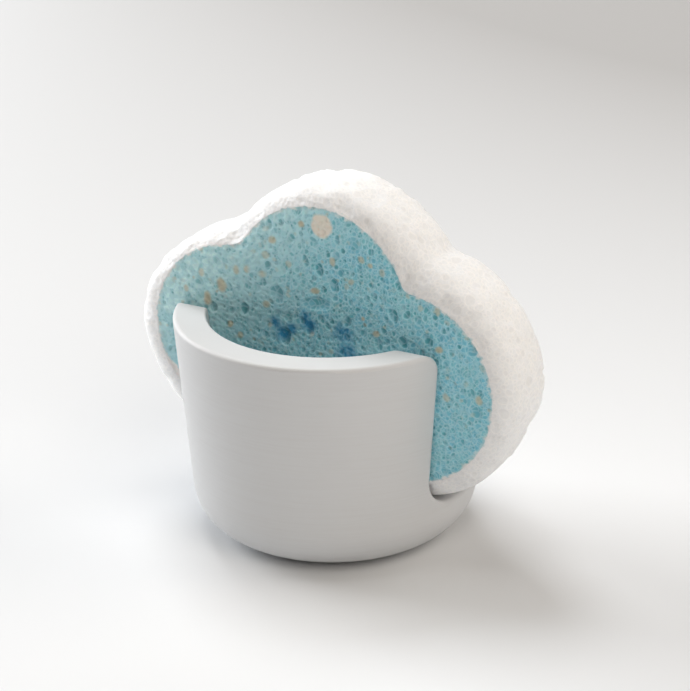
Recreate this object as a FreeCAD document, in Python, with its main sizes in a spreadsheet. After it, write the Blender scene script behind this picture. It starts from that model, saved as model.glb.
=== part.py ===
"""Sponge holder: a thick-walled round cup with two opposite slots, a non-slip pad under its base,
and a cloud-shaped sponge that stands in the slots and lifts straight out.

Frame: millimetres, +Z up, origin at the middle of the pad's underside, where the holder rests.
The slots lie along X, and the sponge's coloured face looks along -Y.
"""
import FreeCAD, Part
import math
import os

import Sketcher

# Driving dimensions. Lengths are in millimetres and angles in degrees.
SIZES = {
    # cup
    "rim_diameter": 80.0,
    "cup_height": 58.5,
    "wall_draft": 4.4,
    "wall_thickness": 8.4,
    "floor_thickness": 8.0,
    "base_round": 13.5,
    "inner_round": 5.0,
    "outer_edge_round": 1.0,
    "inner_edge_round": 0.6,
    # slots
    "slot_width": 25.0,
    "slot_floor_height": 15.8,
    "slot_corner_round": 8.0,
    "left_mouth_round": 2.0,
    "right_mouth_round": 5.0,
    # pad under the base
    "pad_diameter": 38.0,
    "pad_thickness": 2.0,
    "pad_recess_depth": 1.2,
    "pad_clearance": 0.15,
    "foot_ring_width": 2.0,
    # sponge
    "sponge_thickness": 24.0,
    "sponge_edge_round": 7.5,
    "slot_clearance": 0.5,
    "seat_clearance": 0.3,
    "left_lobe_radius": 29.2,
    "left_lobe_reach": 23.0,
    "left_lobe_rise": 34.2,
    "top_lobe_radius": 30.4,
    "top_lobe_reach": 3.2,
    "top_lobe_rise": 47.5,
    "right_lobe_radius": 30.1,
    "right_lobe_reach": 26.3,
    "notch_round": 3.0,
    # coloured core let into the sponge's front
    "core_margin": 5.3,
    "core_lift": 0.6,
    "core_left_margin": 5.8,
    "core_left_shift": 1.4,
    "core_left_lift": 1.6,
    "core_depth": 12.0,
    # how far a cutting shape runs past what it cuts
    "cut_overrun": 5.0,
}

# Two faces that meet at less than this angle, in degrees, run smoothly into each other
SMOOTH_ANGLE = 10.0
# Two lengths that differ by less than this are the same
SAME_LENGTH = 0.01

# Points of a sketch curve, and a sketch's own origin and upright axis
START, END, CENTRE = 1, 2, 3
ROOT, UPRIGHT = -1, -2

doc = FreeCAD.newDocument("sponge_holder")
sheet = doc.addObject("Spreadsheet::Sheet", "Sizes")
for row, (alias, value) in enumerate(SIZES.items(), start=1):
    sheet.set(f"A{row}", alias)
    sheet.set(f"B{row}", str(value))
    sheet.setAlias(f"B{row}", alias)
doc.recompute()


def size(alias):
    """The value of a driving dimension, read back from the sheet."""
    return float(getattr(sheet, alias))


def worked_out(formula):
    """The value of a formula of driving dimensions."""
    return float(sheet.evalExpression(formula))


def new_sketch(body, name, role):
    """A sketch on one of the body's own origin planes."""
    sketch = body.newObject("Sketcher::SketchObject", name)
    plane = next(f for f in body.Origin.OriginFeatures if f.Role == role)
    sketch.AttachmentSupport = [(plane, "")]
    sketch.MapMode = "FlatFace"
    return sketch


def relate(sketch, kind, *pairs):
    """Adds one geometric constraint of a kind for each tuple of curves and points."""
    for pair in pairs:
        sketch.addConstraint(Sketcher.Constraint(kind, *pair))


def bind(sketch, name, formula, kind, *curves_and_value):
    """Adds a dimension, names it, and ties it to the sheet."""
    index = sketch.addConstraint(Sketcher.Constraint(kind, *curves_and_value))
    sketch.renameConstraint(index, name)
    sketch.setExpression(f"Constraints.{name}", formula)


def add_line(sketch, a, b):
    return sketch.addGeometry(Part.LineSegment(FreeCAD.Vector(*a, 0), FreeCAD.Vector(*b, 0)), False)


def add_arc(sketch, centre, radius, start, end):
    """An arc that runs counter-clockwise between two angles, in radians."""
    circle = Part.Circle(FreeCAD.Vector(*centre, 0), FreeCAD.Vector(0, 0, 1), radius)
    return sketch.addGeometry(Part.ArcOfCircle(circle, start, end), False)


def sharp_edges(shape, wanted):
    """Names of the edges where two faces meet at an angle and whose middle point is wanted."""
    names = []
    for number, edge in enumerate(shape.Edges, start=1):
        middle = edge.valueAt((edge.FirstParameter + edge.LastParameter) / 2)
        faces = shape.ancestorsOfType(edge, Part.Face)
        if len(faces) != 2 or not wanted(middle):
            continue
        normals = [f.normalAt(*f.Surface.parameter(middle)) for f in faces]
        if math.degrees(normals[0].getAngle(normals[1])) > SMOOTH_ANGLE:
            names.append(f"Edge{number}")
    return names


def ease(body, name, base, edges, formula):
    """Rounds the named edges of a body's last feature."""
    fillet = body.newObject("PartDesign::Fillet", name)
    fillet.Base = (base, edges)
    fillet.setExpression("Radius", formula)
    doc.recompute()
    assert 0 < fillet.Shape.Volume < base.Shape.Volume, f"{name} took nothing away"
    return fillet


# Cup: a turned profile with the pad's recess in its underside, and a level foot ring left around the recess,
# which limits the round of the base on a narrow cup
BASE_ROUND = ("min(Sizes.base_round; (Sizes.rim_diameter / 2 - Sizes.pad_diameter / 2 - Sizes.pad_clearance"
              " - Sizes.foot_ring_width - (Sizes.cup_height - Sizes.pad_thickness + Sizes.pad_recess_depth)"
              " * tan(Sizes.wall_draft * 1 deg))"
              " / (1 / cos(Sizes.wall_draft * 1 deg) - tan(Sizes.wall_draft * 1 deg)))")


def draw_cup_profile(sketch):
    draft = math.radians(size("wall_draft"))
    rim, height = size("rim_diameter") / 2, size("cup_height")
    inner_rim = rim - size("wall_thickness")
    recess_top = size("pad_thickness")
    underside = recess_top - size("pad_recess_depth")
    recess = size("pad_diameter") / 2 + size("pad_clearance")
    floor = underside + size("floor_thickness")

    def round_under(rim_radius, low, radius):
        """Centre of the round between a level line and a drafted wall, and where it meets the wall."""
        centre_z = low + radius
        centre_x = rim_radius - (height - centre_z) * math.tan(draft) - radius / math.cos(draft)
        return (centre_x, centre_z), (centre_x + radius * math.cos(draft), centre_z - radius * math.sin(draft))

    base_room = rim - recess - size("foot_ring_width") - (height - underside) * math.tan(draft)
    base_round = min(size("base_round"), base_room / (1 / math.cos(draft) - math.tan(draft)))
    base_centre, base_end = round_under(rim, underside, base_round)
    inner_centre, inner_end = round_under(inner_rim, floor, size("inner_round"))

    recess_roof = add_line(sketch, (0, recess_top), (recess, recess_top))
    recess_wall = add_line(sketch, (recess, recess_top), (recess, underside))
    foot = add_line(sketch, (recess, underside), (base_centre[0], underside))
    base_arc = add_arc(sketch, base_centre, base_round, -math.pi / 2, -draft)
    outer_wall = add_line(sketch, base_end, (rim, height))
    rim_top = add_line(sketch, (rim, height), (inner_rim, height))
    inner_wall = add_line(sketch, (inner_rim, height), inner_end)
    inner_arc = add_arc(sketch, inner_centre, size("inner_round"), -math.pi / 2, -draft)
    inner_floor = add_line(sketch, (inner_centre[0], floor), (0, floor))
    axis = add_line(sketch, (0, floor), (0, recess_top))

    relate(sketch, "Coincident", (recess_roof, END, recess_wall, START), (recess_wall, END, foot, START),
           (outer_wall, END, rim_top, START), (rim_top, END, inner_wall, START),
           (inner_floor, END, axis, START), (axis, END, recess_roof, START))
    relate(sketch, "Tangent", (foot, END, base_arc, START), (base_arc, END, outer_wall, START),
           (inner_wall, END, inner_arc, END), (inner_arc, START, inner_floor, START))
    relate(sketch, "Horizontal", (recess_roof,), (foot,), (rim_top,), (inner_floor,))
    relate(sketch, "Vertical", (recess_wall,))
    relate(sketch, "PointOnObject", (axis, START, UPRIGHT), (axis, END, UPRIGHT))
    relate(sketch, "Parallel", (outer_wall, inner_wall))

    bind(sketch, "roof_height", "Sizes.pad_thickness", "DistanceY", ROOT, START, axis, END, recess_top)
    bind(sketch, "recess_radius", "Sizes.pad_diameter / 2 + Sizes.pad_clearance",
         "DistanceX", ROOT, START, foot, START, recess)
    bind(sketch, "foot_height", "Sizes.pad_thickness - Sizes.pad_recess_depth",
         "DistanceY", ROOT, START, foot, START, underside)
    bind(sketch, "rim_radius", "Sizes.rim_diameter / 2", "DistanceX", ROOT, START, rim_top, START, rim)
    bind(sketch, "rim_height", "Sizes.cup_height", "DistanceY", ROOT, START, rim_top, START, height)
    bind(sketch, "rim_width", "Sizes.wall_thickness",
         "DistanceX", rim_top, END, rim_top, START, size("wall_thickness"))
    bind(sketch, "floor_depth", "Sizes.floor_thickness",
         "DistanceY", foot, START, axis, START, size("floor_thickness"))
    bind(sketch, "base_radius", BASE_ROUND, "Radius", base_arc, base_round)
    bind(sketch, "inner_radius", "Sizes.inner_round", "Radius", inner_arc, size("inner_round"))
    bind(sketch, "wall_angle", "(90 - Sizes.wall_draft) * 1 deg", "Angle", outer_wall, math.pi / 2 - draft)


def draw_slot_profile(sketch):
    """A U as wide as the slot, open past the rim."""
    half, corner = size("slot_width") / 2, size("slot_corner_round")
    low = size("slot_floor_height")
    high = size("cup_height") + size("cut_overrun")
    floor = add_line(sketch, (corner - half, low), (half - corner, low))
    near_arc = add_arc(sketch, (half - corner, low + corner), corner, -math.pi / 2, 0)
    near_side = add_line(sketch, (half, low + corner), (half, high))
    lid = add_line(sketch, (half, high), (-half, high))
    far_side = add_line(sketch, (-half, high), (-half, low + corner))
    far_arc = add_arc(sketch, (corner - half, low + corner), corner, math.pi, 3 * math.pi / 2)
    relate(sketch, "Tangent", (floor, END, near_arc, START), (near_arc, END, near_side, START),
           (far_side, END, far_arc, START), (far_arc, END, floor, START))
    relate(sketch, "Coincident", (near_side, END, lid, START), (lid, END, far_side, START))
    relate(sketch, "Horizontal", (floor,))
    relate(sketch, "Vertical", (near_side,), (far_side,))
    relate(sketch, "Equal", (near_arc, far_arc))
    relate(sketch, "Symmetric", (lid, START, lid, END, UPRIGHT))
    bind(sketch, "slot_span", "Sizes.slot_width", "DistanceX", lid, END, lid, START, 2 * half)
    bind(sketch, "slot_low", "Sizes.slot_floor_height", "DistanceY", ROOT, START, floor, END, low)
    bind(sketch, "slot_high", "Sizes.cup_height + Sizes.cut_overrun",
         "DistanceY", ROOT, START, lid, START, high)
    bind(sketch, "slot_corner", "Sizes.slot_corner_round", "Radius", near_arc, corner)


def build_cup():
    body = doc.addObject("PartDesign::Body", "holder_cup")
    profile = new_sketch(body, "cup_profile", "XZ_Plane")
    draw_cup_profile(profile)
    turned = body.newObject("PartDesign::Revolution", "turned_cup")
    turned.Profile = profile
    turned.ReferenceAxis = (profile, ["V_Axis"])
    doc.recompute()

    slot_profile = new_sketch(body, "slot_profile", "YZ_Plane")
    draw_slot_profile(slot_profile)
    slots = body.newObject("PartDesign::Pocket", "slots")
    slots.Profile = slot_profile
    slots.SideType = "Symmetric"
    slots.setExpression("Length", "Sizes.rim_diameter + 2 * Sizes.cut_overrun")
    doc.recompute()
    assert slots.Shape.Volume < turned.Shape.Volume, "the slots took nothing away"

    height, half = size("cup_height"), size("slot_width") / 2

    def at_mouth(side):
        """Whether a point lies on a slot's edge in the rim, on the left for -1 or on the right for 1."""
        def wanted(p):
            return abs(p.z - height) < SAME_LENGTH and abs(abs(p.y) - half) < SAME_LENGTH and side * p.x > 0
        return wanted

    left_mouth = ease(body, "left_mouth", slots, sharp_edges(slots.Shape, at_mouth(-1)),
                      "Sizes.left_mouth_round")
    mouths = ease(body, "right_mouth", left_mouth, sharp_edges(left_mouth.Shape, at_mouth(1)),
                  "Sizes.right_mouth_round")

    draft = math.tan(math.radians(size("wall_draft")))
    foot = size("slot_floor_height") - SAME_LENGTH

    def on_wall(rim_radius):
        """Whether a point above the slots' floor lies on the drafted wall with this radius at the rim."""
        def wanted(p):
            wall_radius = rim_radius - (height - p.z) * draft
            return p.z > foot and abs(math.hypot(p.x, p.y) - wall_radius) < SAME_LENGTH
        return wanted

    rim = size("rim_diameter") / 2
    outside = ease(body, "eased_outside", mouths, sharp_edges(mouths.Shape, on_wall(rim)),
                   "Sizes.outer_edge_round")
    ease(body, "eased_inside", outside, sharp_edges(outside.Shape, on_wall(rim - size("wall_thickness"))),
         "Sizes.inner_edge_round")
    return body


# Pad: a plain disc let into the underside
def build_pad():
    pad = doc.addObject("Part::Cylinder", "base_pad")
    pad.setExpression("Radius", "Sizes.pad_diameter / 2")
    pad.setExpression("Height", "Sizes.pad_thickness")
    return pad


# Sponge: a cloud of three lobes that rests on the slots' floor, with its right lobe the lowest
SEAT = "Sizes.slot_floor_height + Sizes.seat_clearance"
FRONT = "Sizes.slot_width / 2 - Sizes.slot_clearance"


def draw_cloud(sketch, core=False):
    """Three lobes, a small round in each notch between them, and a straight base below.

    The core's lobes are the sponge's own, drawn in by a margin and lifted. The left one is moved more.
    """
    radius = {lobe: f"Sizes.{lobe}_lobe_radius" for lobe in ("left", "top", "right")}
    reach = {lobe: f"Sizes.{lobe}_lobe_reach" for lobe in radius}
    rise = {"left": "Sizes.left_lobe_rise", "top": "Sizes.top_lobe_rise", "right": "Sizes.right_lobe_radius"}
    height = {lobe: f"{SEAT} + {rise[lobe]}" for lobe in radius}
    if core:
        for lobe in ("top", "right"):
            radius[lobe] += " - Sizes.core_margin"
            height[lobe] += " + Sizes.core_lift"
        radius["left"] += " - Sizes.core_left_margin"
        reach["left"] += " - Sizes.core_left_shift"
        height["left"] += " + Sizes.core_left_lift"

    radii = {lobe: worked_out(formula) for lobe, formula in radius.items()}
    centres = {lobe: (worked_out(reach[lobe]), worked_out(height[lobe])) for lobe in radius}
    centres["left"] = (-centres["left"][0], centres["left"][1])
    notch = size("notch_round")

    def heading(a, b):
        return math.atan2(b[1] - a[1], b[0] - a[0])

    def notch_centre(first, second):
        """Centre of the round that touches two lobes from outside, going counter-clockwise."""
        a, b = centres[first], centres[second]
        near, far, span = radii[first] + notch, radii[second] + notch, math.dist(a, b)
        turn = math.acos((near ** 2 + span ** 2 - far ** 2) / (2 * near * span))
        angle = heading(a, b) - turn
        return a[0] + near * math.cos(angle), a[1] + near * math.sin(angle)

    right_notch, left_notch = notch_centre("right", "top"), notch_centre("top", "left")
    left, top, right = centres["left"], centres["top"], centres["right"]
    base_turn = math.acos((radii["left"] - radii["right"]) / math.dist(left, right))
    base_heading = heading(left, right) - base_turn

    def base_point(lobe):
        x, z = centres[lobe]
        return x + radii[lobe] * math.cos(base_heading), z + radii[lobe] * math.sin(base_heading)

    base = add_line(sketch, base_point("left"), base_point("right"))
    right_arc = add_arc(sketch, right, radii["right"], base_heading, heading(right, right_notch))
    right_round = add_arc(sketch, right_notch, notch, heading(right_notch, top), heading(right_notch, right))
    top_arc = add_arc(sketch, top, radii["top"], heading(top, right_notch), heading(top, left_notch))
    left_round = add_arc(sketch, left_notch, notch, heading(left_notch, left), heading(left_notch, top))
    left_arc = add_arc(sketch, left, radii["left"], heading(left, left_notch), base_heading + 2 * math.pi)

    relate(sketch, "Tangent", (base, END, right_arc, START), (right_arc, END, right_round, END),
           (right_round, START, top_arc, START), (top_arc, END, left_round, END),
           (left_round, START, left_arc, START), (left_arc, END, base, START))
    for lobe, curve in {"left": left_arc, "top": top_arc, "right": right_arc}.items():
        bind(sketch, f"{lobe}_radius", radius[lobe], "Radius", curve, radii[lobe])
        bind(sketch, f"{lobe}_height", height[lobe], "DistanceY", ROOT, START, curve, CENTRE, centres[lobe][1])
        ends = (curve, CENTRE, ROOT, START) if lobe == "left" else (ROOT, START, curve, CENTRE)
        bind(sketch, f"{lobe}_offset", reach[lobe], "DistanceX", *ends, abs(centres[lobe][0]))
    bind(sketch, "right_notch", "Sizes.notch_round", "Radius", right_round, notch)
    bind(sketch, "left_notch", "Sizes.notch_round", "Radius", left_round, notch)


def build_sponge():
    block = doc.addObject("PartDesign::Body", "sponge_block")
    outline = new_sketch(block, "sponge_outline", "XZ_Plane")
    draw_cloud(outline)
    outline.setExpression(".AttachmentOffset.Base.z", FRONT)
    slab = block.newObject("PartDesign::Pad", "sponge_slab")
    slab.Profile = outline
    slab.Reversed = True
    slab.setExpression("Length", "Sizes.sponge_thickness")
    doc.recompute()
    front = size("slot_clearance") - size("slot_width") / 2
    faces = (front, front + size("sponge_thickness"))
    ease(block, "sponge_edges", slab, sharp_edges(
        slab.Shape, lambda p: min(abs(p.y - y) for y in faces) < SAME_LENGTH,
    ), "Sizes.sponge_edge_round")

    cutter = doc.addObject("PartDesign::Body", "core_cutter")
    core_outline = new_sketch(cutter, "core_outline", "XZ_Plane")
    draw_cloud(core_outline, core=True)
    core_outline.setExpression(".AttachmentOffset.Base.z", f"{FRONT} + Sizes.cut_overrun")
    prism = cutter.newObject("PartDesign::Pad", "core_prism")
    prism.Profile = core_outline
    prism.Reversed = True
    prism.setExpression("Length", "Sizes.core_depth + Sizes.cut_overrun")
    doc.recompute()

    jacket = doc.addObject("Part::Cut", "sponge_jacket")
    core = doc.addObject("Part::Common", "sponge_core")
    for piece in (jacket, core):
        piece.Base = block
        piece.Tool = cutter
    doc.recompute()
    return jacket, core


parts = [build_cup(), build_pad(), *build_sponge()]
doc.recompute()

for item in doc.Objects:
    assert not {"Invalid", "Error"} & set(item.State), f"{item.Name}: {item.State}"
for item in parts:
    shape = item.Shape
    assert not shape.isNull() and shape.isValid() and len(shape.Solids) == 1, f"{item.Label} is no sound solid"

os.makedirs("parts", exist_ok=True)
for item in parts:
    item.Shape.exportStep(f"parts/{item.Label}.step")
    box = item.Shape.BoundBox
    print(f"{item.Label}: {item.Shape.Volume / 1000:.1f} cm3, x {box.XMin:.1f} to {box.XMax:.1f},",
          f"y {box.YMin:.1f} to {box.YMax:.1f}, z {box.ZMin:.1f} to {box.ZMax:.1f}")
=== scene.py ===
"""Looks of the sponge holder: a cup of pale cast ceramic, and a cloud-shaped cellulose sponge, white with a
blue face, that stands in the cup's slots. Sizes are in millimetres until they go into a mesh.
"""

import math

import bpy
import numpy as np
from mathutils import Matrix, Vector


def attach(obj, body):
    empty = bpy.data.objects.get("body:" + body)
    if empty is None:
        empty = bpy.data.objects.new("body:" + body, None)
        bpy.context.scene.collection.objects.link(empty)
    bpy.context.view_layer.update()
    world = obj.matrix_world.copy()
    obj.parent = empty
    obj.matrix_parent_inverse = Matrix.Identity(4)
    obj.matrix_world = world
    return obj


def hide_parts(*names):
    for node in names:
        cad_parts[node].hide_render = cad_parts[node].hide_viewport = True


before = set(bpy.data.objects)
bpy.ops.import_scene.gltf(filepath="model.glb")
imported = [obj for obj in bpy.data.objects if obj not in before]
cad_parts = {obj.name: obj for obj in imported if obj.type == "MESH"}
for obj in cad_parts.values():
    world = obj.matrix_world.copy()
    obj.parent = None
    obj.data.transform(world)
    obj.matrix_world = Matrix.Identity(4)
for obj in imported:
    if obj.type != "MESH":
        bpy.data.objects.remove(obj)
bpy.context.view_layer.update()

MM = 0.001
# A distance, in millimetres, beyond all that a fade or a tint looks at
FAR = 99.0
scene = bpy.context.scene
scene.view_settings.view_transform = "Standard"

# Sponge, from the solids: its two faces along Y, the round of its edges, and the lobes of its outline and of
# the blue face's, left, top and right, each as (x, z, radius)
FRONT_Y, BACK_Y = -12.0, 12.0
EDGE_ROUND = 7.5
LOBES = [(-23.0, 50.3, 29.2), (3.2, 63.6, 30.4), (26.3, 46.2, 30.1)]
FACE_LOBES = [(-21.6, 51.9, 23.4), (3.2, 64.2, 25.1), (26.3, 46.8, 24.8)]
LEFT_NOTCH, RIGHT_NOTCH, FACE_LEFT_NOTCH = 3.0, 3.0, 9.0
CLOUD_MIDDLE = np.array([2.0, 52.0])
# How high over its base a cloud's inside is measured from it, and from the lobes alone above that
BASE_REACH = 20.0

# Where the sponge's outline swells or sinks past plain lobes: x, z, reach, and how far along X and Z
SWELLS = [(33.0, 76.5, 6.5, -0.5, 1.6), (41.0, 72.0, 10.0, 0.6, 1.0), (53.0, 33.0, 9.0, -1.3, 0.6),
          (-42.0, 72.0, 9.0, 0.9, -1.1), (-33.0, 77.5, 6.0, 0.3, -1.6), (-52.0, 50.0, 8.0, -0.8, 0.0)]

# Pores that stand out on the blue face: x, z, radius, stretch, angle of the long axis, depth, tone
FACE_PORES = [
    (2.9, 64.5, 1.8, 2.3, 0.12, 0.8, 0.12),
    (13.5, 81.3, 2.1, 1.1, 1.2, 0.5, 0.1),
    (-8.5, 65.0, 1.9, 1.35, 1.8, 0.8, 0.22),
    (3.8, 73.5, 1.2, 1.5, 1.8, 0.9, 1.0),
    (8.0, 70.1, 1.35, 1.45, 1.7, 0.8, 0.7),
    (24.4, 65.2, 1.3, 1.6, 2.0, 0.8, 0.8),
    (33.9, 60.5, 1.2, 1.6, 2.2, 0.8, 0.6),
    (26.0, 73.2, 1.1, 1.5, 1.7, 0.7, 0.7),
    (45.6, 60.4, 1.6, 1.2, 1.5, 0.6, 0.3),
    (-0.1, 75.2, 0.9, 1.9, 1.9, 0.7, 0.7),
    (9.0, 82.1, 0.8, 1.8, 1.6, 0.6, 0.5),
    (-27.7, 58.2, 1.3, 1.2, 1.5, 0.8, 0.8),
    (-18.4, 59.4, 1.4, 1.3, 1.4, 0.8, 0.8),
    (-6.5, 54.2, 1.7, 1.5, 1.5, 0.9, 1.0),
    (-12.6, 67.4, 1.0, 1.3, 1.3, 0.7, 0.7),
    (11.5, 61.3, 1.2, 1.3, 1.2, 0.7, 0.7),
]
# Strewn pores of the blue face and of the white body, and wide dents of the body, each kind as tries per
# square centimetre, least and largest radius, and depth in radii
BLUE_PORES = [(2, 1.0, 1.4, 0.5), (16, 0.65, 1.0, 0.5), (70, 0.42, 0.65, 0.55), (250, 0.26, 0.42, 0.55)]
WHITE_PORES = [(3, 0.9, 1.4, 0.35), (30, 0.6, 0.9, 0.38), (90, 0.4, 0.6, 0.4)]
WHITE_DENTS = [(6, 1.8, 3.2, 0.26)]
# Specks that the dye missed: x, z, radius, stretch, angle of the long axis, strength
FACE_SPECKS = [
    (-25.0, 64.6, 1.35, 1.35, 1.75, 1.0), (-29.4, 60.3, 1.15, 1.6, 1.6, 1.0),
    (-1.0, 84.6, 0.85, 1.0, 0.0, 1.0),
    (-9.5, 79.1, 0.95, 1.2, 0.2, 0.9), (-11.7, 74.8, 1.0, 1.1, 0.5, 0.6), (-5.0, 73.5, 0.85, 1.1, 0.0, 0.6),
    (7.6, 76.2, 0.75, 1.5, 1.8, 0.9), (15.7, 78.1, 0.85, 1.2, 2.6, 0.8), (18.2, 77.0, 0.6, 1.1, 0.0, 1.0),
    (21.5, 75.7, 0.75, 1.4, 1.7, 0.6), (12.8, 71.9, 0.7, 1.3, 0.6, 0.7), (2.5, 67.8, 0.8, 1.6, 0.1, 1.0),
    (-11.8, 61.8, 0.9, 1.2, 0.3, 0.8), (19.6, 59.6, 0.8, 1.2, 0.2, 0.9), (16.0, 62.9, 0.5, 1.0, 0.0, 1.0),
    (-17.4, 70.1, 0.75, 1.3, 1.6, 0.8), (-20.4, 69.4, 0.8, 1.5, 1.6, 0.8), (-12.7, 69.6, 0.9, 1.2, 0.0, 0.7),
    (-22.8, 54.5, 0.8, 1.2, 1.0, 1.0), (-19.9, 52.0, 0.8, 1.2, 1.2, 0.9), (36.4, 68.4, 0.75, 1.5, 1.7, 0.8),
    (36.9, 58.7, 0.8, 1.3, 0.2, 1.0), (38.8, 46.6, 0.85, 1.3, 2.0, 0.7), (47.7, 47.6, 0.9, 1.3, 1.8, 0.9),
    (41.8, 67.3, 0.65, 1.2, 0.9, 0.6), (-30.9, 67.0, 0.8, 1.4, 1.6, 0.7), (-35.7, 61.9, 0.7, 1.3, 1.6, 0.7),
    (-30.9, 73.2, 0.6, 1.2, 1.0, 0.7), (1.3, 56.2, 0.6, 1.2, 0.4, 0.6), (-10.9, 56.4, 0.6, 1.2, 0.8, 0.6),
]
CREAM_SPECK = (4.7, 85.0, 2.9, 1.04, 1.3, 1.0)
SMALL_SPECKS = 320
# Blots of dye: x, z, radius
FACE_BLOTS = [(-0.6, 60.2, 2.0), (0.6, 58.4, 2.4), (-9.4, 57.2, 2.0), (-7.1, 54.7, 2.6), (-4.6, 56.6, 1.8),
              (10.3, 58.2, 3.0), (11.3, 52.8, 3.2)]
# Where the dye stops short of the face's lower left rim: x, z, reach, and by how much
DYE_GAP = (-40.5, 37.5, 4.5, 2.2)
# How the face grows paler towards the upper left: how it grows along X and Z from the middle, where it
# starts, and over how much
PALE_LEAN, PALE_START, PALE_REACH = (-0.6, 0.5), 6.0, 22.0
# How softly the lobes run into one another along the face's frayed rim, in millimetres
RIM_BLEND = 1.6
# Over how far the white body's pores fade out beside the face and beside the seam at the back
PORE_FADE = 1.5


# Outline of the sponge

def heading(a, b):
    return math.atan2(b[1] - a[1], b[0] - a[0])


def cloud_runs(lobes, left_round=LEFT_NOTCH):
    """The cloud as six runs, counter-clockwise from the foot of the right lobe: three lobes, a small round in
    each notch and a straight base. A notch's round touches two lobes from outside, so its centre is one
    notch radius beyond both; the base is the tangent below the left and right lobes. An arc is given as
    (centre, radius, first angle, last angle), and the base as its two ends.
    """
    left, top, right = [np.array([x, z]) for x, z, _ in lobes]
    left_r, top_r, right_r = [r for _, _, r in lobes]

    def notch(a, a_r, b, b_r, round_r):
        near, far, span = a_r + round_r, b_r + round_r, math.dist(a, b)
        turn = math.acos((near ** 2 + span ** 2 - far ** 2) / (2 * near * span))
        angle = heading(a, b) - turn
        return a + near * np.array([math.cos(angle), math.sin(angle)])

    def arc(centre, radius, start, end, way):
        while way * (end - start) < 0:
            end += way * 2 * math.pi
        return centre, radius, start, end

    right_notch = notch(right, right_r, top, top_r, RIGHT_NOTCH)
    left_notch = notch(top, top_r, left, left_r, left_round)
    down = heading(left, right) - math.acos((left_r - right_r) / math.dist(left, right))
    below = np.array([math.cos(down), math.sin(down)])
    return [
        arc(right, right_r, down, heading(right, right_notch), 1),
        arc(right_notch, RIGHT_NOTCH, heading(right_notch, right), heading(right_notch, top), -1),
        arc(top, top_r, heading(top, right_notch), heading(top, left_notch), 1),
        arc(left_notch, left_round, heading(left_notch, top), heading(left_notch, left), -1),
        arc(left, left_r, heading(left, left_notch), down, 1),
        (left + left_r * below, right + right_r * below),
    ]


def cloud_outline(lobes, total, left_round=LEFT_NOTCH):
    """Points and outward normals of a cloud, total of each. Every run has its share of them by its length on
    the sponge's outline, so that the outlines of the sponge and of its face match point by point.
    """
    def length(run):
        return math.dist(*run) if len(run) == 2 else abs(run[1] * (run[3] - run[2]))

    ends = np.cumsum([length(run) for run in cloud_runs(LOBES)])
    ends = np.round(ends / ends[-1] * total).astype(int)
    points, normals = [], []
    for run, count in zip(cloud_runs(lobes, left_round), np.diff(ends, prepend=0)):
        share = np.arange(count) / count
        if len(run) == 2:
            along = (run[1] - run[0]) / math.dist(*run)
            points.append(run[0] + share[:, None] * (run[1] - run[0]))
            normals.append(np.tile([along[1], -along[0]], (count, 1)))
        else:
            centre, radius, start, end = run
            angle = start + share * (end - start)
            ray = np.stack([np.cos(angle), np.sin(angle)], axis=1)
            points.append(centre + radius * ray)
            normals.append(ray if end > start else -ray)
    return np.concatenate(points), np.concatenate(normals)


def depth_inside(lobes, points, blend=0.3):
    """How far points lie inside a cloud: how much the lobes cover them by or, near the base, their height
    over it, as the smooth largest of these: blend times the logarithm of the sum of the exponentials of each
    over blend.
    """
    covered = [r - np.hypot(points[:, 0] - x, points[:, 1] - z) for x, z, r in lobes]
    start, end = cloud_runs(lobes)[-1]
    span = math.dist(start, end)
    along = (end - start) / span
    share = (points - start) @ along
    height = (points - start) @ np.array([-along[1], along[0]])
    over_base = (share > 0) & (share < span) & (height < BASE_REACH)
    covered.append(np.where(over_base, height, -FAR))
    return blend * np.log(np.sum(np.exp(np.stack(covered) / blend), axis=0))


def nearness(points, x, z, reach):
    """How near points lie to a spot, from 1 at it: e to the minus square of their distance over the reach."""
    return np.exp(-((points[:, 0] - x) ** 2 + (points[:, 1] - z) ** 2) / reach ** 2)


# Pores

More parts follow.
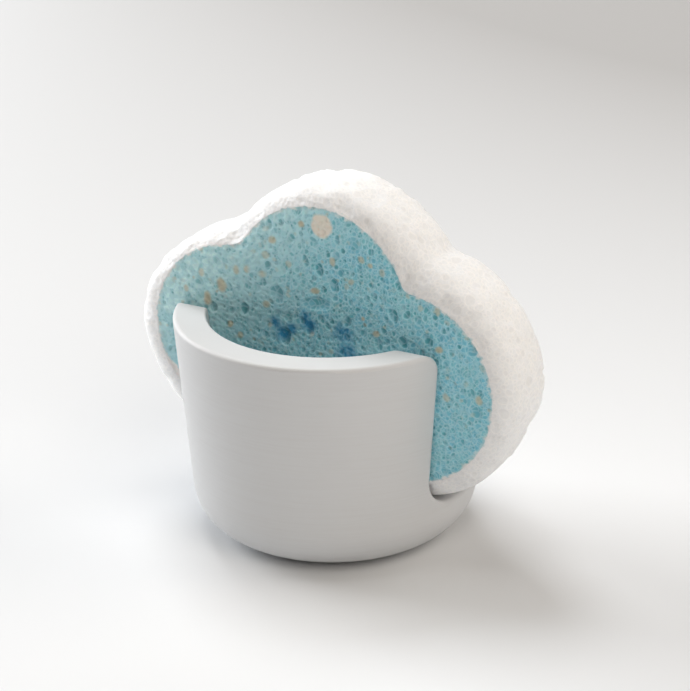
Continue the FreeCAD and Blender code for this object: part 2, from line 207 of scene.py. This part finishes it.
class PoreSheet:
    """A flat sheet of pores on a fine raster, in three layers. A pore is a wavy oval bowl: at d radii from
    its middle it is its depth times the root of 1 - d squared deep. The edge layer is how far a point lies
    inside the nearest pore, (1 - d) times its radius, and below zero between pores, down to the distance
    apart; tone is that pore's tone.
    """
    STEP = 0.12
    # Waves round a pore's edge: how many, and how high in radii
    WAVES = ((3, 0.05), (5, 0.03))

    def __init__(self, low, high, apart=1.5, wraps=False):
        self.low, self.high = np.asarray(low, float), np.asarray(high, float)
        self.size = np.ceil((self.high - self.low) / self.STEP).astype(int) + 1
        self.apart, self.wraps = apart, wraps
        self.layers = {"depth": np.zeros(self.size), "edge": np.full(self.size, -apart),
                       "tone": np.zeros(self.size)}

    def press(self, middle, radius, stretch, angle, depth, tone, waves):
        reach = int(np.ceil((radius * 1.2 + self.apart) * stretch / self.STEP)) + 1
        cell = np.round((middle - self.low) / self.STEP).astype(int)
        u = np.arange(cell[0] - reach, cell[0] + reach + 1)
        v = np.arange(cell[1] - reach, cell[1] + reach + 1)
        v = v[(v >= 0) & (v < self.size[1])]
        if not self.wraps:
            u = u[(u >= 0) & (u < self.size[0])]
        du = (u * self.STEP + self.low[0] - middle[0])[:, None]
        dv = (v * self.STEP + self.low[1] - middle[1])[None, :]
        along = (du * math.cos(angle) + dv * math.sin(angle)) / (radius * stretch)
        across = (dv * math.cos(angle) - du * math.sin(angle)) / radius
        turn = np.arctan2(across, along)
        wavy = [high * np.sin(many * turn + start) for (many, high), start in zip(self.WAVES, waves)]
        d = np.hypot(along, across) * (1 + wavy[0] + wavy[1])
        window = np.ix_(u % self.size[0], v)
        edge = (1 - d) * radius
        nearer = edge > self.layers["edge"][window]
        self.layers["tone"][window] = np.where(nearer, tone, self.layers["tone"][window])
        self.layers["edge"][window] = np.maximum(edge, self.layers["edge"][window])
        self.layers["depth"][window] = np.maximum(depth * np.sqrt(np.clip(1 - d ** 2, 0, None)),
                                                  self.layers["depth"][window])

    def fill(self, rng, kinds, crowd=1.0):
        """Presses seeded random pores into what room is left, kind by kind, from a table of strewn pores. A
        pore's middle lies crowd times its radius off the others.
        """
        square_cm = np.prod(self.high - self.low) / 100
        for tries, small, large, bowl in kinds:
            total = int(tries * square_cm)
            for spot, draw in zip(rng.random((total, 2)), rng.random((total, 6))):
                middle = self.low + spot * (self.high - self.low)
                radius = small + (large - small) * draw[0] ** 2
                if self.read("edge", *middle) < -crowd * radius:
                    self.press(middle, radius, 1 + 0.5 * draw[1], math.pi * (0.2 + 0.6 * draw[2]),
                               radius * bowl * (0.6 + 0.4 * draw[3]), 0.2 + 0.8 * draw[3] ** 2,
                               2 * math.pi * draw[4:])

    def read(self, name, u, v):
        """A layer's value at points of the sheet, linear between its cells."""
        raster = self.layers[name]
        fu = (u - self.low[0]) / self.STEP
        fv = np.clip((v - self.low[1]) / self.STEP, 0, self.size[1] - 1.001)
        fu = fu % self.size[0] if self.wraps else np.clip(fu, 0, self.size[0] - 1.001)
        iu, iv = np.floor(fu).astype(int) % self.size[0], np.floor(fv).astype(int)
        au, av = fu - np.floor(fu), fv - iv
        iu2 = (iu + 1) % self.size[0]
        low = raster[iu, iv] * (1 - au) + raster[iu2, iv] * au
        high = raster[iu, iv + 1] * (1 - au) + raster[iu2, iv + 1] * au
        return low * (1 - av) + high * av


def ovals(points, specks, soft=0.5):
    """The most that any of a table's ovals covers points: its strength, with an edge soft radii wide."""
    cover = np.zeros(len(points))
    for x, z, radius, stretch, angle, strength in specks:
        dx, dz = points[:, 0] - x, points[:, 1] - z
        along = (dx * math.cos(angle) + dz * math.sin(angle)) / (radius * stretch)
        across = (dz * math.cos(angle) - dx * math.sin(angle)) / radius
        cover = np.maximum(cover, strength * np.clip((1 - np.hypot(along, across)) / soft + 0.5, 0, 1))
    return cover


# Meshes

def square_disc(half):
    """A disc on a square grid: a cell's ring is its larger coordinate, and its place round the ring is its
    place round that square, so that ring k has 8k points. Returns each point's ring share and turn share, the
    quads, and the outer points in order.
    """
    i, j = np.meshgrid(np.arange(-half, half + 1), np.arange(-half, half + 1), indexing="ij")
    ring = np.maximum(abs(i), abs(j))
    place = np.select(
        [(i == ring) & (j > -ring), (j == ring) & (i < ring), (i == -ring) & (j < ring)],
        [j + ring, 3 * ring - i, 5 * ring - j], 7 * ring + i)
    turn = place / np.maximum(8 * ring, 1) % 1
    number = np.arange(i.size).reshape(i.shape)
    quads = np.stack([number[:-1, :-1], number[1:, :-1], number[1:, 1:], number[:-1, 1:]], -1).reshape(-1, 4)
    edge = np.flatnonzero(ring.ravel() == half)
    edge = edge[np.argsort(place.ravel()[edge] % (8 * half))]
    return ring.ravel() / half, turn.ravel(), quads, edge


def round_outline(outline, turn):
    """Points of a closed outline at shares of its run."""
    where = turn * len(outline)
    closed = np.concatenate([outline, outline[:1]])
    return np.stack([np.interp(where, np.arange(len(closed)), closed[:, k]) for k in (0, 1)], axis=1)


def band_quads(rings, count):
    """Quads between closed rings of count points each, numbered ring after ring."""
    k, s = np.meshgrid(np.arange(rings - 1), np.arange(count), indexing="ij")
    after = (s + 1) % count
    return np.stack([k * count + s, k * count + after, (k + 1) * count + after, (k + 1) * count + s],
                    -1).reshape(-1, 4)


def fan(ring, tip):
    """Triangles from a closed ring of points to one tip."""
    return np.stack([ring, np.roll(ring, -1), np.full(len(ring), tip)], axis=1)


def make_piece(name, points, quads, triangles, attributes, material):
    """A smooth-shaded mesh from points in millimetres, with one float attribute per point for each name."""
    mesh = bpy.data.meshes.new(name)
    corners = np.concatenate([quads.ravel(), triangles.ravel()]).astype(np.int32)
    sizes = np.concatenate([np.full(len(quads), 4), np.full(len(triangles), 3)])
    starts = np.concatenate([[0], np.cumsum(sizes)[:-1]]).astype(np.int32)
    mesh.vertices.add(len(points))
    mesh.vertices.foreach_set("co", (points * MM).astype(np.float32).ravel())
    mesh.loops.add(len(corners))
    mesh.loops.foreach_set("vertex_index", corners)
    mesh.polygons.add(len(sizes))
    mesh.polygons.foreach_set("loop_start", starts)
    mesh.polygons.foreach_set("use_smooth", np.ones(len(sizes), bool))
    for key, values in attributes.items():
        layer = mesh.attributes.new(key, "FLOAT", "POINT")
        layer.data.foreach_set("value", values.astype(np.float32))
    mesh.update(calc_edges=True)
    mesh.validate()
    mesh.materials.append(material)
    piece = bpy.data.objects.new(name, mesh)
    scene.collection.objects.link(piece)
    return piece


# Materials

# Sockets of a colour mix node
SHARE, FIRST, SECOND, MIXED = 0, 6, 7, 2


def linear(hexa):
    """An sRGB hex colour as linear red, green, blue and alpha."""
    parts = np.array([int(hexa[k:k + 2], 16) for k in (1, 3, 5)]) / 255
    parts = np.where(parts <= 0.04045, parts / 12.92, ((parts + 0.055) / 1.055) ** 2.4)
    return (*parts, 1.0)


def per_mm(size):
    """The scale of a texture on Object coordinates, in metres, whose features are size millimetres apart."""
    return 1 / (size * MM)


def add(tree, kind, inputs=None, **settings):
    """Adds a node; an input is given a value, or an output socket to link from."""
    node = tree.nodes.new(kind)
    for key, value in settings.items():
        setattr(node, key, value)
    for key, value in (inputs or {}).items():
        if isinstance(value, bpy.types.NodeSocket):
            tree.links.new(value, node.inputs[key])
        else:
            node.inputs[key].default_value = value
    return node


def new_material(name):
    """An empty node tree, with the place on the object that every texture is laid out by."""
    material = bpy.data.materials.new(name)
    material.use_nodes = True
    tree = material.node_tree
    tree.nodes.clear()
    return material, tree, add(tree, "ShaderNodeTexCoord").outputs["Object"]


def cast_ceramic():
    """Unglazed cast ceramic, turned fine: a pale grey, matt, with hair lines that run level round it."""
    material, tree, place = new_material("cast_matt_ceramic")
    level = add(tree, "ShaderNodeMapping", {"Vector": place, "Scale": (0.03, 0.03, 1.0)}).outputs[0]
    lines = add(tree, "ShaderNodeTexNoise",
                {"Vector": level, "Scale": per_mm(0.45), "Detail": 2.0, "Roughness": 0.5}).outputs[0]
    cloud = add(tree, "ShaderNodeTexNoise", {"Vector": place, "Scale": per_mm(22), "Detail": 4.0}).outputs[0]
    base = add(tree, "ShaderNodeMix", {SHARE: cloud, FIRST: linear("#D0D1D2"), SECOND: linear("#D4D5D6")},
               data_type="RGBA").outputs[MIXED]
    line_share = add(tree, "ShaderNodeMapRange",
                     {"Value": lines, "From Min": 0.4, "From Max": 0.75, "To Max": 0.12}).outputs[0]
    lined = add(tree, "ShaderNodeMix", {SHARE: line_share, FIRST: base, SECOND: linear("#BFBBB8")},
                data_type="RGBA").outputs[MIXED]
    bump = add(tree, "ShaderNodeBump", {"Height": lines, "Strength": 0.05, "Distance": 0.1 * MM})
    shader = add(tree, "ShaderNodeBsdfPrincipled", {
        "Base Color": lined, "Normal": bump.outputs[0], "Roughness": 0.5, "Specular IOR Level": 0.4})
    add(tree, "ShaderNodeOutputMaterial", {"Surface": shader.outputs[0]})
    return material


def silicone():
    """Moulded silicone rubber: dark warm grey and soft, with a faint grain."""
    material, tree, place = new_material("moulded_silicone")
    grain = add(tree, "ShaderNodeTexNoise", {"Vector": place, "Scale": per_mm(0.6), "Detail": 3.0}).outputs[0]
    colour = add(tree, "ShaderNodeMix", {SHARE: grain, FIRST: linear("#6A6866"), SECOND: linear("#757371")},
                 data_type="RGBA").outputs[MIXED]
    bump = add(tree, "ShaderNodeBump", {"Height": grain, "Strength": 0.3, "Distance": 0.1 * MM})
    shader = add(tree, "ShaderNodeBsdfPrincipled",
                 {"Base Color": colour, "Normal": bump.outputs[0], "Roughness": 0.75})
    add(tree, "ShaderNodeOutputMaterial", {"Surface": shader.outputs[0]})
    return material


def add_cells(tree, place, size, depth):
    """Small open cells of cellulose, size millimetres across with bent walls: their walls, from 0 to 1, a
    random tint of each, and a normal bumped by them, depth millimetres deep.
    """
    wobble = add(tree, "ShaderNodeTexNoise", {"Vector": place, "Scale": per_mm(1.3), "Detail": 2.0})
    bend = add(tree, "ShaderNodeVectorMath", {0: wobble.outputs["Color"], "Scale": 0.9 * MM},
               operation="SCALE")
    bent = add(tree, "ShaderNodeVectorMath", {0: place, 1: bend.outputs[0]}, operation="ADD").outputs[0]
    cells = add(tree, "ShaderNodeTexVoronoi", {"Vector": bent, "Scale": per_mm(size), "Smoothness": 0.35},
                feature="SMOOTH_F1").outputs
    edges = add(tree, "ShaderNodeTexVoronoi", {"Vector": bent, "Scale": per_mm(size)},
                feature="DISTANCE_TO_EDGE").outputs["Distance"]
    walls = add(tree, "ShaderNodeMapRange",
                {"Value": edges, "From Min": 0.02, "From Max": 0.2, "To Min": 1.0, "To Max": 0.0},
                interpolation_type="SMOOTHSTEP").outputs[0]
    bump = add(tree, "ShaderNodeBump", {"Height": cells["Distance"], "Strength": 0.5, "Distance": depth * MM})
    return walls, cells["Color"], bump.outputs[0]


def add_pores(tree):
    """The mesh's own pores, as shares from 0 to 1: painted shade in their hollows, by tone, and a painted
    highlight, a thin bright line, on their lips.
    """
    edge = add(tree, "ShaderNodeAttribute", attribute_name="edge").outputs["Fac"]
    tone = add(tree, "ShaderNodeAttribute", attribute_name="tone").outputs["Fac"]
    within = add(tree, "ShaderNodeMapRange", {"Value": edge, "From Min": 0.02, "From Max": 0.35},
                 interpolation_type="SMOOTHSTEP").outputs[0]
    # Painted shade: how far a point lies within its pore, times the pore's tone, darkens the hollow
    pore_shade = add(tree, "ShaderNodeMath", {0: within, 1: tone}, operation="MULTIPLY").outputs[0]
    # Painted highlight: a thin bright line along each pore's lip
    off_lip = add(tree, "ShaderNodeMath", {0: edge}, operation="ABSOLUTE").outputs[0]
    lip_highlight = add(tree, "ShaderNodeMapRange", {"Value": off_lip, "From Max": 0.18, "To Min": 1.0, "To Max": 0.0},
               interpolation_type="SMOOTHSTEP").outputs[0]
    return pore_shade, lip_highlight


def white_cellulose():
    """White cellulose sponge: milky and lit through, with soft shallow cells, painted shade in the pores'
    hollows and a painted highlight on their lips, and a breath of blue beside the face.
    """
    material, tree, place = new_material("white_cellulose_sponge")
    walls, _, normal = add_cells(tree, place, 1.3, 0.45)
    pore_shade, lip_highlight = add_pores(tree)
    from_face = add(tree, "ShaderNodeAttribute", attribute_name="from_face").outputs["Fac"]
    base = add(tree, "ShaderNodeMix", {SHARE: walls, FIRST: linear("#F2F3F4"), SECOND: linear("#F6F7F8")},
               data_type="RGBA").outputs[MIXED]
    # Painted highlight: the pores' lips a touch brighter
    lined = add(tree, "ShaderNodeMix", {SHARE: lip_highlight, FIRST: base, SECOND: linear("#FBFAF9")},
                data_type="RGBA").outputs[MIXED]
    # Painted shade: the pores' hollows a touch darker
    deep = add(tree, "ShaderNodeMix", {SHARE: pore_shade, FIRST: lined, SECOND: linear("#EFEFEF")},
               data_type="RGBA").outputs[MIXED]
    fray = add(tree, "ShaderNodeTexNoise", {"Vector": place, "Scale": per_mm(1.4), "Detail": 3.0}).outputs[0]
    ragged = add(tree, "ShaderNodeMath", {0: fray, 1: 3.0, 2: from_face}, operation="MULTIPLY_ADD").outputs[0]
    tint = add(tree, "ShaderNodeMapRange",
               {"Value": ragged, "From Min": 0.9, "From Max": 1.7, "To Min": 0.6, "To Max": 0.0},
               interpolation_type="SMOOTHSTEP").outputs[0]
    tinted = add(tree, "ShaderNodeMix", {SHARE: tint, FIRST: deep, SECOND: linear("#8CC6D2")},
                 data_type="RGBA").outputs[MIXED]
    glow = add(tree, "ShaderNodeMapRange",
               {"Value": from_face, "From Max": 6.0, "To Min": 0.1, "To Max": 0.95}).outputs[0]
    shader = add(tree, "ShaderNodeBsdfPrincipled", {
        "Base Color": tinted, "Normal": normal, "Roughness": 0.7, "Specular IOR Level": 0.3,
        "Subsurface Weight": glow, "Subsurface Radius": (1.0, 0.97, 0.92), "Subsurface Scale": 12 * MM})
    add(tree, "ShaderNodeOutputMaterial", {"Surface": shader.outputs[0]})
    return material


def blue_cellulose():
    """Blue cellulose sponge: a web of pale walls round deeper, greener cells, painted shade in the pores'
    hollows, whose hue is also a little greener, and a painted highlight on their lips, tan specks that the
    dye missed, blots of strong dye, a face that grows paler towards the upper left, and a frayed edge.
    """
    material, tree, place = new_material("blue_cellulose_sponge")
    walls, tint, normal = add_cells(tree, place, 1.5, 0.3)
    pore_shade, lip_highlight = add_pores(tree)
    speck, cream, blot, upper_left_pale, to_rim = [
        add(tree, "ShaderNodeAttribute", attribute_name=name).outputs["Fac"]
        for name in ("speck", "cream", "blot", "upper_left_pale", "to_rim")]
    patch = add(tree, "ShaderNodeTexNoise", {"Vector": place, "Scale": per_mm(4.5), "Detail": 4.0}).outputs[0]
    fray = add(tree, "ShaderNodeTexNoise", {"Vector": place, "Scale": per_mm(1.4), "Detail": 3.0}).outputs[0]
    patch_share = add(tree, "ShaderNodeMapRange",
                      {"Value": patch, "From Min": 0.3, "From Max": 0.7}).outputs[0]
    colour = add(tree, "ShaderNodeMix",
                 {SHARE: patch_share, FIRST: linear("#7CC6DD"), SECOND: linear("#92D1DB")},
                 data_type="RGBA").outputs[MIXED]
    ragged = add(tree, "ShaderNodeMath", {0: fray, 1: -3.0, 2: to_rim}, operation="MULTIPLY_ADD").outputs[0]
    bare = add(tree, "ShaderNodeMapRange",
               {"Value": ragged, "From Min": -2.0, "From Max": -0.8, "To Min": 1.0, "To Max": 0.0},
               interpolation_type="SMOOTHSTEP").outputs[0]
    crumb = add(tree, "ShaderNodeMath", {0: fray, 1: 0.3, 2: cream}, operation="MULTIPLY_ADD").outputs[0]
    dyed = add(tree, "ShaderNodeMath", {0: fray, 1: blot}, operation="MULTIPLY").outputs[0]
    # Tones, one over another: what each follows, its largest share, the range it grows over, its colour. The
    # pores' hollows take painted shade and their lips a painted highlight.
    for share, most, low, high, tone in (
            (upper_left_pale, 0.95, 0.0, 1.0, "#D8FAFA"), (tint, 0.6, 0.4, 0.8, "#62B2BE"),
            (pore_shade, 0.6, 0.0, 1.0, "#529FA8"), (walls, 0.5, 0.0, 1.0, "#BBE2EE"),
            (lip_highlight, 0.5, 0.0, 1.0, "#BBE4EC"), (speck, 0.75, 0.0, 1.0, "#CDBF9F"),
            (crumb, 0.95, 0.55, 0.75, "#EDE5D8"), (dyed, 0.9, 0.12, 0.5, "#2A86B4"),
            (bare, 1.0, 0.0, 1.0, "#F2F3F0")):
        part = add(tree, "ShaderNodeMapRange",
                   {"Value": share, "From Min": low, "From Max": high, "To Max": most}).outputs[0]
        colour = add(tree, "ShaderNodeMix", {SHARE: part, FIRST: colour, SECOND: linear(tone)},
                     data_type="RGBA").outputs[MIXED]
    shader = add(tree, "ShaderNodeBsdfPrincipled", {
        "Base Color": colour, "Normal": normal, "Roughness": 0.75, "Specular IOR Level": 0.25,
        "Subsurface Weight": 0.45, "Subsurface Radius": (0.6, 1.0, 1.0), "Subsurface Scale": 2.5 * MM})
    add(tree, "ShaderNodeOutputMaterial", {"Surface": shader.outputs[0]})
    return material


# Sponge pieces

def edge_drop(inside):
    """How far the sponge's front curves back, a quarter round, at a depth inside its outline."""
    sunk = np.clip(EDGE_ROUND - inside, 0, EDGE_ROUND)
    return EDGE_ROUND - np.sqrt(EDGE_ROUND ** 2 - sunk ** 2)


def make_face():
    """The blue face: a disc on the sponge's front, pressed in by its pores, that runs a little way under the
    white body, with a skirt behind it and a plain back, closed by a fan.
    """
    rng = np.random.default_rng(11)
    half, overlap, sink, back_y = 150, 0.5, 0.12, FRONT_Y + 4.0
    ring, turn, quads, edge = square_disc(half)
    outline, _ = cloud_outline([(x, z, r + overlap) for x, z, r in FACE_LOBES], 8 * half, FACE_LEFT_NOTCH)
    place = CLOUD_MIDDLE + ring[:, None] * (round_outline(outline, turn) - CLOUD_MIDDLE)
    soft_rim = depth_inside(FACE_LOBES, place, blend=RIM_BLEND)
    to_rim = soft_rim - DYE_GAP[3] * nearness(place, *DYE_GAP[:3])

    sheet = PoreSheet(place.min(0) - 1, place.max(0) + 1)
    for x, z, radius, stretch, angle, depth, tone in FACE_PORES:
        sheet.press(np.array([x, z]), radius, stretch, angle, depth, tone, 2 * math.pi * rng.random(2))
    sheet.fill(rng, BLUE_PORES)

    # The face grows paler towards the upper left, outwards from the middle
    upper_left_pale = np.clip(((place - CLOUD_MIDDLE) @ PALE_LEAN - PALE_START) / PALE_REACH, 0, 1)
    spots = sheet.low + rng.random((SMALL_SPECKS, 2)) * (sheet.high - sheet.low)
    radii = 0.35 + 0.35 * rng.random(SMALL_SPECKS) ** 2
    stretches = 1 + 0.6 * rng.random(SMALL_SPECKS)
    angles = math.pi * rng.random(SMALL_SPECKS)
    strengths = 0.15 + 0.5 * rng.random(SMALL_SPECKS) ** 2
    small = np.stack([*spots.T, radii, stretches, angles, strengths], axis=1)
    blot = np.max([nearness(place, *spot) for spot in FACE_BLOTS], axis=0)

    shown = np.clip(depth_inside(FACE_LOBES, place), 0, 1)
    pore = sheet.read("depth", *place.T) * shown
    under = sink * np.clip(-soft_rim / overlap, 0, 1)
    y = FRONT_Y + edge_drop(depth_inside(LOBES, place)) + pore + under
    front = np.stack([place[:, 0], y, place[:, 1]], axis=1)
    skirt = front[edge] * (1, 0, 1) + (0, back_y, 0)
    points = np.concatenate([front, skirt, [[CLOUD_MIDDLE[0], back_y, CLOUD_MIDDLE[1]]]])
    behind = len(front) + np.arange(len(edge))
    wall = np.stack([edge, behind, np.roll(behind, -1), np.roll(edge, -1)], axis=1)
    values = {
        "edge": sheet.read("edge", *place.T), "tone": sheet.read("tone", *place.T) * shown,
        "speck": np.maximum(ovals(place, FACE_SPECKS), ovals(place, small)),
        "cream": ovals(place, [CREAM_SPECK], soft=1.2), "blot": blot, "upper_left_pale": upper_left_pale, "to_rim": to_rim,
    }
    attributes = {name: np.concatenate([value, np.zeros(len(edge) + 1)]) for name, value in values.items()}
    piece = make_piece("sponge_blue_face", points, np.concatenate([quads, wall]),
                       fan(behind[::-1], len(points) - 1), attributes, blue_cellulose())
    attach(piece, "sponge")
    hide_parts("sponge_core")


def make_body():
    """The white body: rings that run from the face's rim over the front edge, along the side and over the
    back edge, and a disc that closes the back. The edges are quarter rounds, so at an angle a from the face a
    ring lies EDGE_ROUND times (1 - sin a) inside the outline and (1 - cos a) behind the face. In front the
    rings start where the face ends, on a flat strip where that lies deeper than the round. Swells shift the
    outline, each less with its distance, and pores press every point in along the plain surface's normal.
    """
    rng = np.random.default_rng(23)
    half, front_rings, side_rings, back_rings = 90, 30, 24, 33
    first_step, inner_y = 0.005, FRONT_Y + 3.0
    count = 8 * half
    outer, normal = cloud_outline(LOBES, count)
    face, _ = cloud_outline(FACE_LOBES, count, FACE_LEFT_NOTCH)
    quarter = math.pi / 2

    margin = np.hypot(*(outer - face).T)
    strip = np.maximum(margin - EDGE_ROUND, 0)
    first_angle = np.arcsin(np.clip(1 - margin / EDGE_ROUND, 0, 1))
    length = strip + EDGE_ROUND * (quarter - first_angle)
    front_run = np.concatenate([[0], np.linspace(first_step, 1, front_rings)])[:, None] * length
    past = front_run - strip
    front_angle = np.where(past < 0, 0, first_angle + np.maximum(past, 0) / EDGE_ROUND)
    front_inset = np.where(past < 0, margin - front_run, EDGE_ROUND * (1 - np.sin(front_angle)))
    plain = outer
    for x, z, reach, dx, dz in SWELLS:
        outer = outer + nearness(plain, x, z, reach)[:, None] * (dx, dz)
    front_flat = outer + (front_inset / margin)[..., None] * (face - outer)

    side_y = np.linspace(FRONT_Y + EDGE_ROUND, BACK_Y - EDGE_ROUND, side_rings)[1:-1]
    back_angle = np.linspace(quarter, 0, back_rings)
    back_inset = EDGE_ROUND * (1 - np.sin(back_angle))
    inset = np.concatenate([np.zeros(len(side_y)), back_inset])
    flat = np.concatenate([front_flat, outer - inset[:, None, None] * normal])
    rings = len(flat)
    angle = np.concatenate([front_angle, np.full((len(side_y), count), quarter),
                            np.tile(back_angle[:, None], count)])
    facing = np.where(np.arange(rings) < len(front_run), -1.0, 1.0)[:, None]
    behind = EDGE_ROUND * (1 - np.cos(angle))
    y = np.where(facing < 0, FRONT_Y + behind, BACK_Y - behind)
    y[len(front_run):len(front_run) + len(side_y)] = side_y[:, None]
    lean = np.stack([normal[:, 0] * np.sin(angle), facing * np.cos(angle), normal[:, 1] * np.sin(angle)],
                    axis=-1)
    skin = np.stack([flat[..., 0], y, flat[..., 1]], axis=-1)

    run = np.concatenate([[0], np.cumsum(np.hypot(*np.diff(outer, axis=0, append=outer[:1]).T))])
    steps = np.linalg.norm(np.diff(skin, axis=0), axis=-1).mean(axis=1)
    across = np.concatenate([[0], np.cumsum(steps)])
    places = np.broadcast_arrays(run[None, :-1], across[:, None])
    dents = PoreSheet((0, 0), (run[-1], across[-1]), apart=3.5, wraps=True)
    dents.fill(rng, WHITE_DENTS, crowd=0.8)
    sheet = PoreSheet((0, 0), (run[-1], across[-1]), wraps=True)
    sheet.fill(rng, WHITE_PORES)
    from_face = np.concatenate([front_run, np.full((rings - len(front_run), count), FAR)])
    to_seam = across[-1] - across[:, None]
    shown = np.clip(np.minimum(from_face, to_seam) / PORE_FADE, 0, 1)
    pressed = (sheet.read("depth", *places) + dents.read("depth", *places)) * shown
    skin = skin - lean * pressed[..., None]

    ring, turn, quads, edge = square_disc(half)
    place = CLOUD_MIDDLE + ring[:, None] * (round_outline(flat[-1], turn) - CLOUD_MIDDLE)
    back = PoreSheet(place.min(0) - 1, place.max(0) + 1)
    back.fill(rng, WHITE_PORES)
    seam = flat[-1][::6]  # every sixth point, which is close enough
    from_seam = np.min(np.hypot(*(place[:, None] - seam).T), axis=0)
    sunk = back.read("depth", *place.T) * np.clip(from_seam / PORE_FADE, 0, 1)
    disc = np.stack([place[:, 0], BACK_Y - sunk, place[:, 1]], axis=1)
    disc[edge] = skin[-1]

    inner = np.stack([face[:, 0], np.full(count, inner_y), face[:, 1]], axis=1)
    points = np.concatenate([inner, skin.reshape(-1, 3), disc, [[CLOUD_MIDDLE[0], inner_y, CLOUD_MIDDLE[1]]]])
    number = np.arange(len(disc)) + count * (rings + 1)
    number[edge] = count * rings + np.arange(count)
    unseen = np.full(count, -1.0)
    band_edge, band_tone = sheet.read("edge", *places), sheet.read("tone", *places) * shown
    attributes = {
        "edge": np.concatenate([unseen, band_edge.ravel(), back.read("edge", *place.T), [-1]]),
        "tone": np.concatenate([unseen, band_tone.ravel(), back.read("tone", *place.T), [0]]),
        "from_face": np.concatenate([np.zeros(count), from_face.ravel(), np.full(len(disc) + 1, FAR)]),
    }
    piece = make_piece("sponge_white_body", points,
                       np.concatenate([band_quads(rings + 1, count), number[quads][:, ::-1]]),
                       fan(np.arange(count), len(points) - 1), attributes, white_cellulose())
    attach(piece, "sponge")
    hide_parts("sponge_jacket")


make_face()
make_body()

for node, material in (("holder_cup", cast_ceramic()), ("base_pad", silicone())):
    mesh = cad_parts[node].data
    mesh.materials.clear()
    mesh.materials.append(material)


# Camera, floor and light

AZIMUTH, ELEVATION, ROLL = math.radians(31.0), math.radians(23.6), math.radians(-1.25)
CAMERA_DISTANCE = 622.0
FOCAL_PIXELS = 2437.0
TARGET = Vector((0.0, 0.0, 31.1))
TARGET_PIXEL = (334.0, 409.0)
IMAGE = (690, 691)
LAMP_DISTANCE = 2500.0

BACKWARD = Vector((math.sin(AZIMUTH) * math.cos(ELEVATION), -math.cos(AZIMUTH) * math.cos(ELEVATION),
                   math.sin(ELEVATION)))
RIGHT = Vector((math.cos(AZIMUTH), math.sin(AZIMUTH), 0.0))
INTO = Vector((-math.sin(AZIMUTH), math.cos(AZIMUTH), 0.0))
ABOVE = Vector((0.0, 0.0, 1.0))


def make_camera():
    """A long lens, rolled a little, from where the fit of the cup's rim put it, that sees the target at its
    pixel.
    """
    level_up = BACKWARD.cross(RIGHT)
    right = math.cos(ROLL) * RIGHT + math.sin(ROLL) * level_up
    up = math.cos(ROLL) * level_up - math.sin(ROLL) * RIGHT
    place = TARGET + CAMERA_DISTANCE * BACKWARD
    across = (IMAGE[0] / 2 - TARGET_PIXEL[0]) / FOCAL_PIXELS
    along = (TARGET_PIXEL[1] - IMAGE[1] / 2) / FOCAL_PIXELS
    look = (across * right + along * up - BACKWARD).normalized()
    side = look.cross(up).normalized()
    turned = Matrix((side, side.cross(look), -look)).transposed().to_4x4()
    lens = bpy.data.cameras.new("camera")
    lens.lens = FOCAL_PIXELS / max(IMAGE) * lens.sensor_width
    camera = bpy.data.objects.new("camera", lens)
    camera.matrix_world = Matrix.Translation(place * MM) @ turned
    scene.collection.objects.link(camera)
    scene.camera = camera


def make_floor():
    """A wide level sheet just below the pad: white paper, with painted shade that greys it away from the
    camera and to the far right.
    """
    material, tree, place = new_material("pale_paper_sweep")
    # Painted shade: the paper's colour darkens away from the camera and to the right, standing in for light
    # that falls off there
    away = add(tree, "ShaderNodeVectorMath", {0: place, 1: INTO / (443 * MM)},
               operation="DOT_PRODUCT").outputs["Value"]
    aside = add(tree, "ShaderNodeVectorMath", {0: place, 1: RIGHT / (410 * MM)},
                operation="DOT_PRODUCT").outputs["Value"]
    grown = add(tree, "ShaderNodeMath", {0: aside, 1: 0.7}, operation="ADD").outputs[0]
    share = add(tree, "ShaderNodeMath", {0: away, 1: grown}, operation="MULTIPLY").outputs[0]
    colour = add(tree, "ShaderNodeMix", {SHARE: share, FIRST: linear("#E3E5E7"), SECOND: linear("#B2B1B0")},
                 data_type="RGBA").outputs[MIXED]
    shader = add(tree, "ShaderNodeBsdfPrincipled",
                 {"Base Color": colour, "Roughness": 0.9, "Specular IOR Level": 0.1})
    add(tree, "ShaderNodeOutputMaterial", {"Surface": shader.outputs[0]})
    reach, below = 4000.0, -0.05
    corners = [(-1, -1), (1, -1), (1, 1), (-1, 1)]
    points = np.array([[reach * x, reach * y, below] for x, y in corners])
    make_piece("floor", points, np.array([[0, 1, 2, 3]]), np.zeros((0, 3), int), {}, material)


def add_lamp(name, direction, size, power, colour):
    """A square soft box that faces the cup from a direction."""
    lamp = bpy.data.lights.new(name, "AREA")
    lamp.size = size * MM
    lamp.energy = power
    lamp.color = colour
    place = direction.normalized()
    holder = bpy.data.objects.new(name, lamp)
    holder.matrix_world = (Matrix.Translation((TARGET + LAMP_DISTANCE * place) * MM)
                           @ place.to_track_quat("Z", "Y").to_matrix().to_4x4())
    scene.collection.objects.link(holder)


make_camera()
make_floor()
add_lamp("window", -0.32 * RIGHT + 0.95 * INTO + 1.73 * ABOVE, 950, 25.0, (0.98, 1.0, 1.02))
add_lamp("left_window", -0.82 * RIGHT + 0.57 * INTO + 0.36 * ABOVE, 1500, 60.0, (0.99, 1.0, 1.01))
add_lamp("ceiling", 0.05 * INTO + ABOVE, 1200, 12.0, (1.02, 1.0, 0.98))
add_lamp("right_window", 0.9 * RIGHT + 0.05 * INTO + 0.6 * ABOVE, 1400, 14.0, (1.09, 1.0, 0.9))
add_lamp("front_fill", 0.35 * RIGHT - 0.75 * INTO + 0.7 * ABOVE, 1500, 22.0, (1.09, 1.0, 0.9))

world = bpy.data.worlds.new("room")
world.use_nodes = True
backdrop = world.node_tree.nodes["Background"]
backdrop.inputs["Color"].default_value = (1.12, 1.0, 0.88, 1.0)
backdrop.inputs["Strength"].default_value = 0.08
scene.world = world
